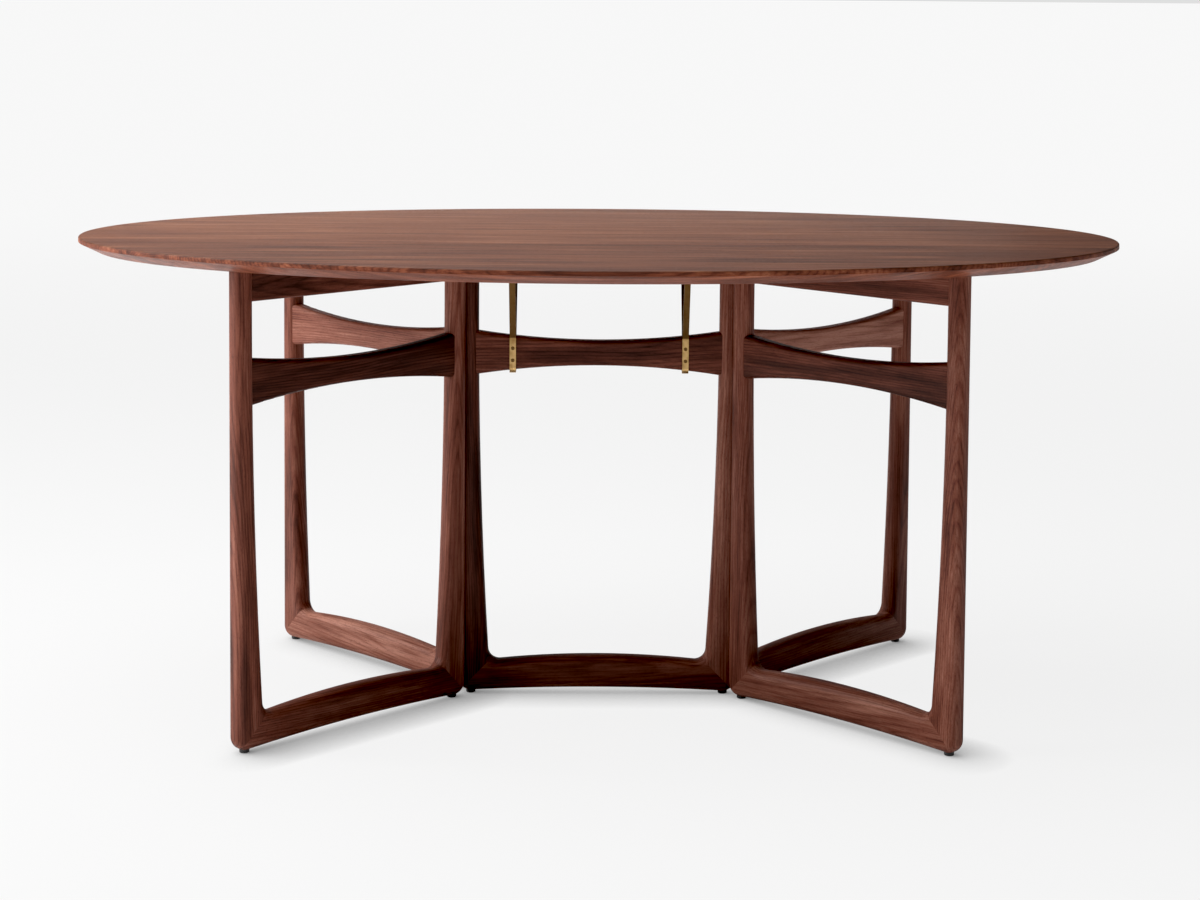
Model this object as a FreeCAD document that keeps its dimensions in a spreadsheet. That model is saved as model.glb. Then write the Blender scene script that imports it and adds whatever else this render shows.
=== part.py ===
import FreeCAD, Part
import math
import os
import re
import Sketcher
from FreeCAD import Placement, Rotation, Vector

# Drop-leaf dining table with an oval top and five equal frames
# Lengths in millimetres, angles in degrees. X runs along the top, the front faces -Y, +Z is up.
# The origin is on the floor under the middle of the top.

doc = FreeCAD.newDocument("DropLeafTable")

SIZES = [
    # Top
    ("TopLength", 1646, "long axis of the oval"),
    ("TopWidth", 968, "short axis of the oval"),
    ("TableHeight", 740, "floor to the top face"),
    ("TopThick", 22, "thickness of board and leaves"),
    ("EdgeUpright", 7.5, "upright part of the edge"),
    ("ArrisRadius", 2.5, "rounding of the upper edge"),
    ("BevelRun", 29.5, "how far the under-bevel runs in"),
    ("BoardWidth", 250, "fixed board, between its two joint lines"),
    ("RuleStep", 5, "square step at the top of a rule joint"),
    ("RuleClear", 0.4, "gap in a rule joint"),
    # Frames
    ("FrameWidth", 446, "outer width of each frame"),
    ("FrameThick", 32, "thickness of posts and bottom rails"),
    ("PostWidth", 31, "width of a post at its top"),
    ("PostRound", 13.5, "rounding of the long edges"),
    ("TaperDrop", 98, "parallel part of a post, from the underside"),
    ("TaperRadius", 8900, "sweep of a post's inner edge"),
    ("FootRadius", 20, "outer corner of a foot"),
    ("FootHeight", 4.5, "lowest wood above the floor"),
    ("FootBow", 3.1, "slope of the bottom edge beside a foot"),
    ("SillHeight", 55, "lowest point of the opening"),
    ("SillRadius", 18, "inner corner above a foot"),
    ("SillBow", 5.8, "slope of the opening's lower edge at its ends"),
    ("MidRailDrop", 145, "underside to the middle rail's waist"),
    ("MidRailDepth", 40, "depth of the middle rail at its waist"),
    ("MidRailRadius", 1275, "sweep of both its edges"),
    ("RailThick", 25, "thickness of middle and top rails"),
    ("RailRound", 6.5, "rounding of the middle rail"),
    ("TopRailDepth", 46, "depth of a top rail"),
    ("TopRailRound", 4, "rounding of its lower edges"),
    ("MortiseDepth", 18, "depth of a rail's tenon in a post"),
    ("TenonThick", 4.8, "thickness of a tenon"),
    ("TenonShoulder", 8, "shoulder above and below a tenon"),
    ("GateTopClear", 0.3, "play between a gate and the underside"),
    # Glides
    ("GlideDiameter", 15, "disc under a foot"),
    ("GlideInset", 20, "its centre from the frame's outer edge"),
    ("GlideSeat", 2, "how deep the disc sits in the wood"),
    ("GlideFit", 0.2, "play round the disc"),
    ("GlideEdge", 1, "chamfer of the disc"),
    ("GlideStemDiameter", 4, "stem driven into the foot"),
    ("GlideStemLength", 12, "length of the stem"),
    # Gate hinges
    ("GateAngle", 44.3, "how far a gate stands open"),
    ("PinGap", 4.3, "hinge pin from the centre post"),
    ("GateFaceGap", 0.5, "back face of a gate from the pin's plane"),
    ("GateEdgeGap", 3.1, "inner edge of a gate from the pin"),
    ("HingeLow", 105, "foot of the lower hinges"),
    ("HingeDrop", 117, "underside to the foot of the upper hinges"),
    ("HingeHeight", 60, "height of a hinge"),
    ("HingePlate", 2, "thickness of its leaves"),
    ("HingeOffset", 1.2, "leaf's near face from the pin's plane"),
    ("HingeReach", 20.2, "reach of a leaf from the pin"),
    ("HingeBury", 18, "depth of the centre leaf in its kerf"),
    ("KnuckleRadius", 3.5, "outside of the knuckles"),
    ("KnuckleClear", 0.7, "gap round a knuckle"),
    ("KnuckleGap", 0.5, "gap between two knuckles"),
    ("HingePinRadius", 1.8, "hinge pin"),
    ("HingePinHead", 2.8, "radius of its button ends"),
    ("HingePinButton", 1.5, "height of a button end"),
    ("PinFit", 0.05, "play round a hinge pin"),
    ("RecessClear", 0.2, "gap round a let-in leaf"),
    # Leaf hinges
    ("FlapSpacing", 580, "outer leaf hinges from the middle"),
    ("FlapWidth", 38, "width of a leaf hinge along X"),
    ("FlapKnuckle", 3.2, "outside radius of its knuckle"),
    ("FlapPinRadius", 1.5, "its pin"),
    ("FlapPlate", 1.6, "thickness of its plates"),
    ("FlapShort", 32, "reach of the plate on the board"),
    ("FlapLong", 46, "reach of the plate on the leaf"),
    ("FlapFlush", 0.3, "how far it lies inside the underside"),
    # Brass stays
    ("StaySpacing", 137.6, "stays from the middle"),
    ("StayWidth", 10, "width of the strip"),
    ("StayThick", 2.5, "thickness of the strip"),
    ("StayRise", 4, "where a stay leaves the rail, above its waist"),
    ("StayReach", 87.5, "where it meets the underside"),
    ("StayFlange", 25, "flange under the board"),
    ("StayBend", 3, "inner radius of its bends"),
    ("StayPlay", 2, "gap between the rail's underside and the strip"),
    ("StayScrewDrop", 12, "upper screw in the rail, below its waist"),
    ("StayScrewApart", 19.4, "lower screw below the upper one"),
    ("StayScrewFirst", 9, "first flange screw past the bend"),
    ("StayScrewStep", 9, "next flange screw"),
    # Screws
    ("ScrewHeadRadius", 3, "countersunk head"),
    ("ScrewHeadDepth", 1.6, "depth of the countersink"),
    ("ScrewRadius", 1.5, "shank"),
    ("ScrewLength", 11, "overall length"),
    ("SlotWidth", 0.7, "driver slot"),
    ("SlotDepth", 0.8, "driver slot"),
    ("ScrewEdge", 12, "gate hinge screws from the leaf's ends"),
    ("ScrewSet", 12.2, "gate hinge screws from the pin"),
    ("FlapScrewEdge", 9, "leaf hinge screws from the plate's ends"),
    ("FlapScrewSet", 8, "leaf hinge screws from the plate's far edge"),
    # Cutting
    ("Overrun", 4, "how far a cutting solid passes a face"),
]

DERIVED = [
    ("FrameTop", "TableHeight - TopThick"),
    ("TaperTop", "FrameTop - TaperDrop"),
    ("MidRailTop", "FrameTop - MidRailDrop"),
    ("MidRailBottom", "MidRailTop - MidRailDepth"),
    ("HingeHigh", "FrameTop - HingeDrop"),
    ("GateTop", "FrameTop - GateTopClear"),
    ("Half", "FrameWidth / 2"),
    ("Inner", "Half - PostWidth"),
    ("RailHalf", "Inner + MortiseDepth"),
    ("FootX", "Half - FootRadius"),
    ("FootZ", "FootHeight + FootRadius"),
    ("CornerZ", "SillHeight + SillRadius"),
    ("TaperAngle", "asin((TaperTop - CornerZ) / (TaperRadius - SillRadius))"),
    ("CornerX", "Inner - TaperRadius + (TaperRadius - SillRadius) * cos(TaperAngle)"),
    ("MitreAngle", "atan((CornerZ - FootZ) / (FootX - CornerX))"),
    ("MitreOutX", "FootX + FootRadius * cos(MitreAngle)"),
    ("MitreOutZ", "FootZ - FootRadius * sin(MitreAngle)"),
    ("MitreInX", "CornerX + SillRadius * cos(MitreAngle)"),
    ("MitreInZ", "CornerZ - SillRadius * sin(MitreAngle)"),
    ("TaperEndX", "CornerX + SillRadius * cos(TaperAngle)"),
    ("TaperEndZ", "CornerZ - SillRadius * sin(TaperAngle)"),
    ("BowX", "FootX - FootRadius * sin(FootBow)"),
    ("BowZ", "FootZ - FootRadius * cos(FootBow)"),
    ("BowRadius", "BowX / sin(FootBow)"),
    ("HeelX", "Half - GlideInset - GlideDiameter"),
    ("HeelZ", "BowZ - BowRadius * cos(FootBow) + sqrt(BowRadius * BowRadius - HeelX * HeelX)"),
    ("SillX", "CornerX - SillRadius * sin(SillBow)"),
    ("SillZ", "CornerZ - SillRadius * cos(SillBow)"),
    ("SillSweep", "SillX / sin(SillBow)"),
    ("MidRailFlare", "MidRailRadius - sqrt(MidRailRadius * MidRailRadius - RailHalf * RailHalf)"),
    ("MidEndTop", "MidRailTop + MidRailFlare"),
    ("MidEndBottom", "MidRailBottom - MidRailFlare"),
    ("PinX", "Half + PinGap"),
    ("PinAlong", "Half + GateEdgeGap"),
    ("PinAcross", "FrameThick / 2 + GateFaceGap"),
    ("GateX", "PinX + PinAlong * cos(GateAngle) - PinAcross * sin(GateAngle)"),
    ("GateY", "PinAlong * sin(GateAngle) + PinAcross * cos(GateAngle)"),
    ("JointY", "BoardWidth / 2"),
    ("FlapPinLift", "FlapKnuckle + FlapFlush"),
    ("FlapPinZ", "FrameTop + FlapPinLift"),
    ("RuleRadius", "TopThick - RuleStep - FlapPinLift"),
    ("CoveRadius", "RuleRadius + RuleClear"),
    ("CoveTop", "FlapPinZ + sqrt(CoveRadius * CoveRadius - RuleClear * RuleClear)"),
    ("RailFace", "RailThick / 2"),
    ("StayBendHeight", "MidRailTop + StayRise"),
    ("StayScrewHigh", "MidRailTop - StayScrewDrop"),
    ("StayScrewLow", "StayScrewHigh - StayScrewApart"),
    ("StayFar", "StaySpacing + StayWidth / 2"),
    ("StayLow", "MidRailBottom - MidRailRadius - StayPlay"
                " + sqrt(MidRailRadius * MidRailRadius - StayFar * StayFar)"),
    ("StayLean", "atan((StayReach - RailFace) / (FrameTop - StayBendHeight))"),
    ("StayOut", "RailFace + StayThick"),
    ("StayKnee", "StayBendHeight - StayThick * tan(StayLean / 2)"),
    ("StayArm", "StayReach + StayThick * (1 - sin(StayLean)) / cos(StayLean)"),
    ("StayEnd", "StayReach + StayFlange"),
    ("StayUnder", "FrameTop - StayThick"),
]

sizes = doc.addObject("Spreadsheet::Sheet", "Sizes")
derived = doc.addObject("Spreadsheet::Sheet", "Derived")
size_names = [alias for alias, number, note in SIZES]
derived_names = [alias for alias, formula in DERIVED]


def bound(text, inside=False):
    """The same sum with each name led by its sheet."""
    def lead(found):
        word = found.group(0)
        if word in size_names:
            return "Sizes." + word
        return word if inside else "Derived." + word
    return re.sub(r"[A-Z]\w+", lead, text)


for row, (alias, number, note) in enumerate(SIZES, 1):
    sizes.set(f"A{row}", note)
    sizes.set(f"B{row}", str(number))
    sizes.setAlias(f"B{row}", alias)
doc.recompute()
for row, (alias, formula) in enumerate(DERIVED, 1):
    derived.set(f"A{row}", alias)
    derived.set(f"B{row}", "=" + bound(formula, True))
    derived.setAlias(f"B{row}", alias)
    doc.recompute()


def value(text):
    """A sum of named sizes as a number."""
    found = sizes.evalExpression(bound(text))
    return float(getattr(found, "Value", found))


def bind(obj, **sums):
    for prop, text in sums.items():
        obj.setExpression(prop.replace("_", "."), bound(text))


# Sketches

def outline(body, name, role, points, bends):
    """A closed outline. Each point is a pair of sums, and bends gives the arcs: the number of the
    point that one starts from, its radius, and 1 where it turns left or -1 where it turns right."""
    sketch = body.newObject("Sketcher::SketchObject", name)
    plane = [part for part in body.Origin.OriginFeatures if part.Role == role][0]
    sketch.AttachmentSupport = [(plane, "")]
    sketch.MapMode = "FlatFace"
    places = [Vector(value(x), value(y), 0) for x, y in points]
    count = len(places)
    ends = []
    for k in range(count):
        start, stop = places[k], places[(k + 1) % count]
        if k not in bends:
            sketch.addGeometry(Part.LineSegment(start, stop), False)
            ends.append((1, 2))
            continue
        radius, turn = value(bends[k][0]), bends[k][1]
        chord = stop - start
        left = Vector(-chord.y, chord.x, 0).normalize()
        rise = math.sqrt(radius * radius - chord.Length * chord.Length / 4)
        middle = (start + stop) / 2 + left * (rise * turn)
        first, last = (start, stop) if turn > 0 else (stop, start)
        circle = Part.Circle(middle, Vector(0, 0, 1), radius)
        angles = [math.atan2(spot.y - middle.y, spot.x - middle.x) for spot in (first, last)]
        if angles[1] < angles[0]:
            angles[1] += 2 * math.pi
        sketch.addGeometry(Part.ArcOfCircle(circle, *angles), False)
        ends.append((1, 2) if turn > 0 else (2, 1))
    for k in range(count):
        after = (k + 1) % count
        sketch.addConstraint(Sketcher.Constraint("Coincident", k, ends[k][1], after, ends[after][0]))
    for k in range(count):
        for axis, number, text in (("X", places[k].x, points[k][0]), ("Y", places[k].y, points[k][1])):
            if number == 0:
                line = -2 if axis == "X" else -1
                sketch.addConstraint(Sketcher.Constraint("PointOnObject", k, ends[k][0], line))
                continue
            spots = (-1, 1, k, ends[k][0]) if number > 0 else (k, ends[k][0], -1, 1)
            sum_text = text if number > 0 else f"-({text})"
            mark = sketch.addConstraint(Sketcher.Constraint("Distance" + axis, *spots, abs(number)))
            sketch.renameConstraint(mark, f"{axis}{k}")
            sketch.setExpression(f"Constraints.{axis}{k}", bound(sum_text))
    for k, (radius, turn) in bends.items():
        mark = sketch.addConstraint(Sketcher.Constraint("Radius", k, value(radius)))
        sketch.renameConstraint(mark, f"Bend{k}")
        sketch.setExpression(f"Constraints.Bend{k}", bound(radius))
    return sketch


def padded(name, role, points, bends, depth):
    """A body padded evenly to both sides of an origin plane."""
    body = doc.addObject("PartDesign::Body", name)
    sketch = outline(body, name + "_outline", role, points, bends)
    pad = body.newObject("PartDesign::Pad", name + "_pad")
    pad.Profile = sketch
    pad.SideType = "Symmetric"
    bind(pad, Length=depth)
    sketch.Visibility = False
    doc.recompute()
    return body


def rounded(body, name, radius, chosen):
    """A fillet on the edges of the body's last feature for which chosen is true."""
    base = body.Tip
    edges = [f"Edge{k}" for k, edge in enumerate(base.Shape.Edges, 1) if chosen(edge)]
    fillet = body.newObject("PartDesign::Fillet", name)
    fillet.Base = (base, edges)
    bind(fillet, Radius=radius)
    doc.recompute()


def sunk_box(body, name, length, width, height, x, y, z):
    box = body.newObject("PartDesign::SubtractiveBox", name)
    bind(box, Length=length, Width=width, Height=height)
    bind(box, Placement_Base_x=x, Placement_Base_y=y, Placement_Base_z=z)


def sunk_round(body, name, radius, height, x, y, z):
    hole = body.newObject("PartDesign::SubtractiveCylinder", name)
    bind(hole, Radius=radius, Height=height)
    bind(hole, Placement_Base_x=x, Placement_Base_y=y, Placement_Base_z=z)


def cut(name, base, *tools):
    """What is left of base when the tools are taken away one by one."""
    for k, tool in enumerate(tools, 1):
        less = doc.addObject("Part::Cut", name if k == len(tools) else f"{name}_less{k}")
        less.Base, less.Tool = base, tool
        base = less
    doc.recompute()
    return base


def fused(name, *shapes):
    whole = doc.addObject("Part::MultiFuse", name)
    whole.Shapes = list(shapes)
    whole.Refine = True
    doc.recompute()
    return whole


def box(name, length, width, height, x, y, z):
    block = doc.addObject("Part::Box", name)
    bind(block, Length=length, Width=width, Height=height)
    bind(block, Placement_Base_x=x, Placement_Base_y=y, Placement_Base_z=z)
    return block


def rod(name, radius, height, x, y, z, axis=None):
    """A cylinder along Z, or along the axis given."""
    bar = doc.addObject("Part::Cylinder", name)
    if axis:
        bar.Placement = Placement(Vector(), Rotation(Vector(0, 0, 1), axis))
    bind(bar, Radius=radius, Height=height)
    bind(bar, Placement_Base_x=x, Placement_Base_y=y, Placement_Base_z=z)
    return bar


def group(name, shapes):
    """Separate solids that share a name."""
    feature = doc.addObject("Part::Feature", name)
    feature.Shape = Part.makeCompound(shapes)
    return feature


def at(shape, x, y, z, rotation=None):
    """A copy of a shape, turned and then moved."""
    copy = shape.copy()
    copy.Placement = Placement(Vector(x, y, z), rotation or Rotation())
    return copy


# Screw with a countersunk head: its face lies in the XY plane and it points down

screw_body = doc.addObject("PartDesign::Body", "screw")
screw_sketch = outline(
    screw_body, "screw_outline", "XZ_Plane",
    [("0", "0"), ("0", "-ScrewLength"), ("ScrewRadius", "-ScrewLength + ScrewRadius"),
     ("ScrewRadius", "-ScrewHeadDepth"), ("ScrewHeadRadius", "0")], {})
screw_turn = screw_body.newObject("PartDesign::Revolution", "screw_turn")
screw_turn.Profile = screw_sketch
screw_turn.ReferenceAxis = (screw_sketch, ["V_Axis"])
screw_turn.Angle = 360
doc.recompute()
slot = box("screw_slot", "2 * ScrewHeadRadius", "SlotWidth", "SlotDepth + Overrun",
           "-ScrewHeadRadius", "-SlotWidth / 2", "-SlotDepth")
screw_slotted = cut("screw_slotted", screw_body, slot)


def screws(name, places):
    """Screws at their places. Each has x, y, z and the way that its head faces."""
    turned = [at(screw_slotted.Shape, x, y, z, Rotation(Vector(0, 0, 1), Vector(*face)))
              for x, y, z, face in places]
    return group(name, turned)


def bores(name, places):
    """The same screws without slots, to cut their seats."""
    turned = [at(screw_body.Shape, x, y, z, Rotation(Vector(0, 0, 1), Vector(*face)))
              for x, y, z, face in places]
    return group(name, turned)


# Glide: a black disc with a stem

glide_body = doc.addObject("PartDesign::Body", "glide")
glide_sketch = outline(
    glide_body, "glide_outline", "XZ_Plane",
    [("0", "0"), ("GlideDiameter / 2 - GlideEdge", "0"), ("GlideDiameter / 2", "GlideEdge"),
     ("GlideDiameter / 2", "FootHeight + GlideSeat"),
     ("GlideStemDiameter / 2", "FootHeight + GlideSeat"),
     ("GlideStemDiameter / 2", "FootHeight + GlideSeat + GlideStemLength"),
     ("0", "FootHeight + GlideSeat + GlideStemLength")], {})
glide_turn = glide_body.newObject("PartDesign::Revolution", "glide_turn")
glide_turn.Profile = glide_sketch
glide_turn.ReferenceAxis = (glide_sketch, ["V_Axis"])
glide_turn.Angle = 360
doc.recompute()

parts = []


def keep(obj, label):
    obj.Label = label
    parts.append(obj)


# Frames: mitred feet, two swept posts, a bowed bottom rail, a waisted middle rail and a top rail

def place(obj, side, face):
    """A gate's place: side is -1 left or 1 right, face is -1 front or 1 back. The centre frame
    stays where it is."""
    if side == 0:
        return
    obj.Placement = Placement(Vector(), Rotation(Vector(0, 0, side * face), 1))
    bind(obj, Placement_Base_x=f"{side} * GateX", Placement_Base_y=f"{face} * GateY",
         Placement_Rotation_Angle="GateAngle")


def frame(name, side, face):
    top = "GateTop" if side else "FrameTop"
    posts = {}
    for end in (-1, 1):
        if side:
            label = f"{name}_{'outer' if end == side else 'inner'}_post"
        else:
            label = f"{name}_{'left' if end < 0 else 'right'}_post"
        body = padded(
            label + "_wood", "XZ_Plane",
            [(f"{end} * Half", top), (f"{end} * Half", "FootZ"), (f"{end} * MitreOutX", "MitreOutZ"),
             (f"{end} * MitreInX", "MitreInZ"), (f"{end} * TaperEndX", "TaperEndZ"),
             (f"{end} * Inner", "TaperTop"), (f"{end} * Inner", top)],
            {1: ("FootRadius", -end), 3: ("SillRadius", end), 4: ("TaperRadius", end)},
            "FrameThick")
        half, high = value("FrameThick") / 2, value(top)
        slope = value("MitreOutX") - value("MitreInX")

        def long_edge(edge):
            ends = [v.Point for v in edge.Vertexes]
            across = abs(abs(ends[0].y) - half) + abs(abs(ends[1].y) - half) > 1e-6 * half
            crown = min(p.z for p in ends) > high * (1 - 1e-6)
            mitre = abs(abs(ends[0].x - ends[1].x) - slope) < 1e-6 * slope
            return not (across or crown or mitre or abs(ends[0].y - ends[1].y) > half)

        rounded(body, label + "_round", "PostRound", long_edge)
        start = "Inner - Overrun" if end > 0 else "-RailHalf"
        sunk_box(body, label + "_mid_mortise", "MortiseDepth + Overrun", "TenonThick",
                 "MidEndTop - MidEndBottom - 2 * TenonShoulder",
                 start, "-TenonThick / 2", "MidEndBottom + TenonShoulder")
        sunk_box(body, label + "_top_mortise", "MortiseDepth + Overrun", "TenonThick",
                 "TopRailDepth - 2 * TenonShoulder",
                 start, "-TenonThick / 2", f"{top} - TopRailDepth + TenonShoulder")
        sunk_round(body, label + "_glide_seat", "GlideDiameter / 2 + GlideFit", "GlideSeat + Overrun",
                   f"{end} * (Half - GlideInset)", "0", "FootHeight - Overrun")
        sunk_round(body, label + "_glide_bore", "GlideStemDiameter / 2", "GlideStemLength + Overrun",
                   f"{end} * (Half - GlideInset)", "0", "FootHeight + GlideSeat - Overrun")
        if side == 0:
            for hinge, foot in enumerate(("HingeLow", "HingeHigh")):
                sunk_box(body, f"{label}_kerf{hinge}", "HingeBury + Overrun",
                         "HingePlate + RecessClear", "HingeHeight + 2 * RecessClear",
                         "Half - HingeBury" if end > 0 else "-Half - Overrun",
                         "-(HingePlate + RecessClear) / 2", f"{foot} - RecessClear")
        elif end != side:
            deep = "(HingeOffset + HingePlate)"
            for hinge, foot in enumerate(("HingeLow", "HingeHigh")):
                sunk_box(body, f"{label}_recess{hinge}", "HingeReach + RecessClear + Overrun",
                         f"{deep} + Overrun", "HingeHeight + 2 * RecessClear",
                         "-PinAlong - Overrun" if end < 0 else "PinAlong - HingeReach - RecessClear",
                         f"PinAcross - {deep}" if face < 0 else "-PinAcross - Overrun",
                         f"{foot} - RecessClear")
        doc.recompute()
        place(body, side, face)
        posts[end] = body

    bottom = padded(
        name + "_bottom_rail_wood", "XZ_Plane",
        [("-MitreOutX", "MitreOutZ"), ("-BowX", "BowZ"), ("-HeelX", "HeelZ"), ("HeelX", "HeelZ"),
         ("BowX", "BowZ"), ("MitreOutX", "MitreOutZ"), ("MitreInX", "MitreInZ"),
         ("SillX", "SillZ"), ("-SillX", "SillZ"), ("-MitreInX", "MitreInZ")],
        {0: ("FootRadius", 1), 1: ("BowRadius", -1), 2: ("BowRadius", -1), 3: ("BowRadius", -1),
         4: ("FootRadius", 1), 6: ("SillRadius", -1), 7: ("SillSweep", 1), 8: ("SillRadius", -1)},
        "FrameThick")
    half = value("FrameThick") / 2
    slope = value("MitreOutX") - value("MitreInX")

    def rail_edge(edge):
        ends = [v.Point for v in edge.Vertexes]
        flat = abs(ends[0].y - ends[1].y) < half and abs(abs(ends[0].y) - half) < 1e-6 * half
        return flat and abs(abs(ends[0].x - ends[1].x) - slope) > 1e-6 * slope

    rounded(bottom, name + "_bottom_rail_round", "PostRound", rail_edge)
    for end in (-1, 1):
        sunk_round(bottom, f"{name}_bottom_rail_seat{end + 1}", "GlideDiameter / 2 + GlideFit",
                   "GlideSeat + Overrun", f"{end} * (Half - GlideInset)", "0", "FootHeight - Overrun")
        sunk_round(bottom, f"{name}_bottom_rail_bore{end + 1}", "GlideStemDiameter / 2",
                   "GlideStemLength + Overrun", f"{end} * (Half - GlideInset)", "0",
                   "FootHeight + GlideSeat - Overrun")
    doc.recompute()
    place(bottom, side, face)

    middle = padded(
        name + "_mid_rail_wood", "XZ_Plane",
        [("-RailHalf", "MidEndBottom"), ("RailHalf", "MidEndBottom"),
         ("RailHalf", "MidEndTop"), ("-RailHalf", "MidEndTop")],
        {0: ("MidRailRadius", -1), 2: ("MidRailRadius", -1)}, "RailThick")
    rounded(middle, name + "_mid_rail_round", "RailRound",
            lambda edge: edge.Length > value("RailHalf"))
    place(middle, side, face)

    upper = padded(
        name + "_top_rail_wood", "XZ_Plane",
        [("-RailHalf", f"{top} - TopRailDepth"), ("RailHalf", f"{top} - TopRailDepth"),
         ("RailHalf", top), ("-RailHalf", top)], {}, "RailThick")
    middle_height = value(top) - value("TopRailDepth") / 2
    rounded(upper, name + "_top_rail_round", "TopRailRound",
            lambda edge: edge.Length > value("RailHalf") and edge.CenterOfMass.z < middle_height)
    place(upper, side, face)
    doc.recompute()

    glides = group(name + "_glides_pair",
                   [at(glide_body.Shape, end * (value("Half") - value("GlideInset")), 0, 0)
                    for end in (-1, 1)])
    place(glides, side, face)
    keep(glides, name + "_glides")
    return posts, bottom, middle, upper


# Centre frame, its stays and their screws

posts, bottom, middle, upper = frame("centre", 0, 0)
keep(posts[-1], "centre_left_post")
keep(posts[1], "centre_right_post")
keep(bottom, "centre_bottom_rail")

stay_x = value("StaySpacing")
rail_screws, flange_screws = [], []
for end in (-1, 1):
    for face in (-1, 1):
        for height in ("StayScrewLow", "StayScrewHigh"):
            rail_screws.append((end * stay_x, face * value("StayOut"), value(height), (0, face, 0)))
        for step in range(2):
            out = value(f"StayReach + StayScrewFirst + {step} * StayScrewStep")
            flange_screws.append((end * stay_x, face * out, value("StayUnder"), (0, 0, -1)))
keep(screws("stay_screws", rail_screws + flange_screws), "stay_screws")
stay_bores = bores("stay_bores", rail_screws + flange_screws)

middle = cut("centre_mid_rail_cut", middle, posts[-1], posts[1], stay_bores)
keep(middle, "centre_mid_rail")
keep(cut("centre_top_rail_cut", upper, posts[-1], posts[1]), "centre_top_rail")

half_stay = [("StayEnd", "FrameTop"), ("StayReach", "FrameTop"), ("RailFace", "StayBendHeight"),
             ("RailFace", "StayLow")]
other_half = [("StayOut", "StayLow - StayThick"), ("StayOut", "StayKnee"), ("StayArm", "StayUnder"),
              ("StayEnd", "StayUnder")]
stay_points = half_stay + [(f"-{y}", z) for y, z in reversed(half_stay)]
stay_points += [(f"-{y}", z) for y, z in reversed(other_half)] + other_half
stay_bends = [("RailFace", "StayLow", "RailRound"), ("StayOut", "StayLow - StayThick", "RailRound + StayThick"),
              ("RailFace", "StayBendHeight", "StayBend + StayThick"), ("StayOut", "StayKnee", "StayBend"),
              ("StayReach", "FrameTop", "StayBend + StayThick"), ("StayArm", "StayUnder", "StayBend")]
for end, label in ((-1, "left_stay"), (1, "right_stay")):
    strip = padded(label + "_brass", "YZ_Plane", stay_points, {}, "StayWidth")
    for k, (y, z, radius) in enumerate(stay_bends):
        spot = value(y), value(z)

        def corner(edge):
            middle = edge.CenterOfMass
            near = abs(abs(middle.y) - spot[0]) + abs(middle.z - spot[1]) < 1e-3 * stay_x
            return near and abs(middle.x) < 1e-3 * stay_x

        rounded(strip, f"{label}_bend{k}", radius, corner)
    bind(strip, Placement_Base_x=f"{end} * StaySpacing")
    keep(cut(label + "_drilled", strip, stay_bores), label)


# Three-leaf hinges: one pin at each end of the centre frame carries a front and a back gate

def knuckle(name, foot, low, high, x, y):
    """A knuckle between two shares of the hinge's height, with its gaps."""
    tall = f"HingeHeight * {high - low} - KnuckleGap"
    return rod(name, "KnuckleRadius", tall, x, y, f"{foot} + HingeHeight * {low} + KnuckleGap / 2")


third_share = 1 / 3
for end, label in ((-1, "left"), (1, "right")):
    leaves, pins = [], []
    for k, foot in enumerate(("HingeLow", "HingeHigh")):
        name = f"{label}_centre_leaf{k}"
        start = "Half - HingeBury" if end > 0 else "-Half"
        plate = box(name + "_plate", "HingeBury", "HingePlate", "HingeHeight",
                    start, "-HingePlate / 2", foot)
        tongue = box(name + "_tongue", "PinGap", "HingePlate", "HingeHeight / 3 - KnuckleGap",
                     "Half" if end > 0 else "-PinX", "-HingePlate / 2",
                     f"{foot} + HingeHeight / 3 + KnuckleGap / 2")
        barrel = knuckle(name + "_barrel", foot, third_share, 2 * third_share, f"{end} * PinX", "0")
        hole = rod(name + "_hole", "HingePinRadius + PinFit", "HingeHeight", f"{end} * PinX", "0", foot)
        leaves.append(cut(name, fused(name + "_whole", plate, tongue, barrel), hole).Shape)
        shank = rod(name + "_pin", "HingePinRadius", "HingeHeight + 2 * HingePinButton",
                    f"{end} * PinX", "0", f"{foot} - HingePinButton")
        buttons = [rod(f"{name}_button{b}", "HingePinHead", "HingePinButton - PinFit", f"{end} * PinX",
                       "0", height)
                   for b, height in enumerate((f"{foot} - HingePinButton", f"{foot} + HingeHeight + PinFit"))]
        pins.append(fused(name + "_pin_whole", shank, *buttons).Shape)
    keep(group(label + "_centre_leaves_pair", leaves), f"{label}_hinge_centre_leaves")
    keep(group(label + "_pins_pair", pins), f"{label}_hinge_pins")

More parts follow.
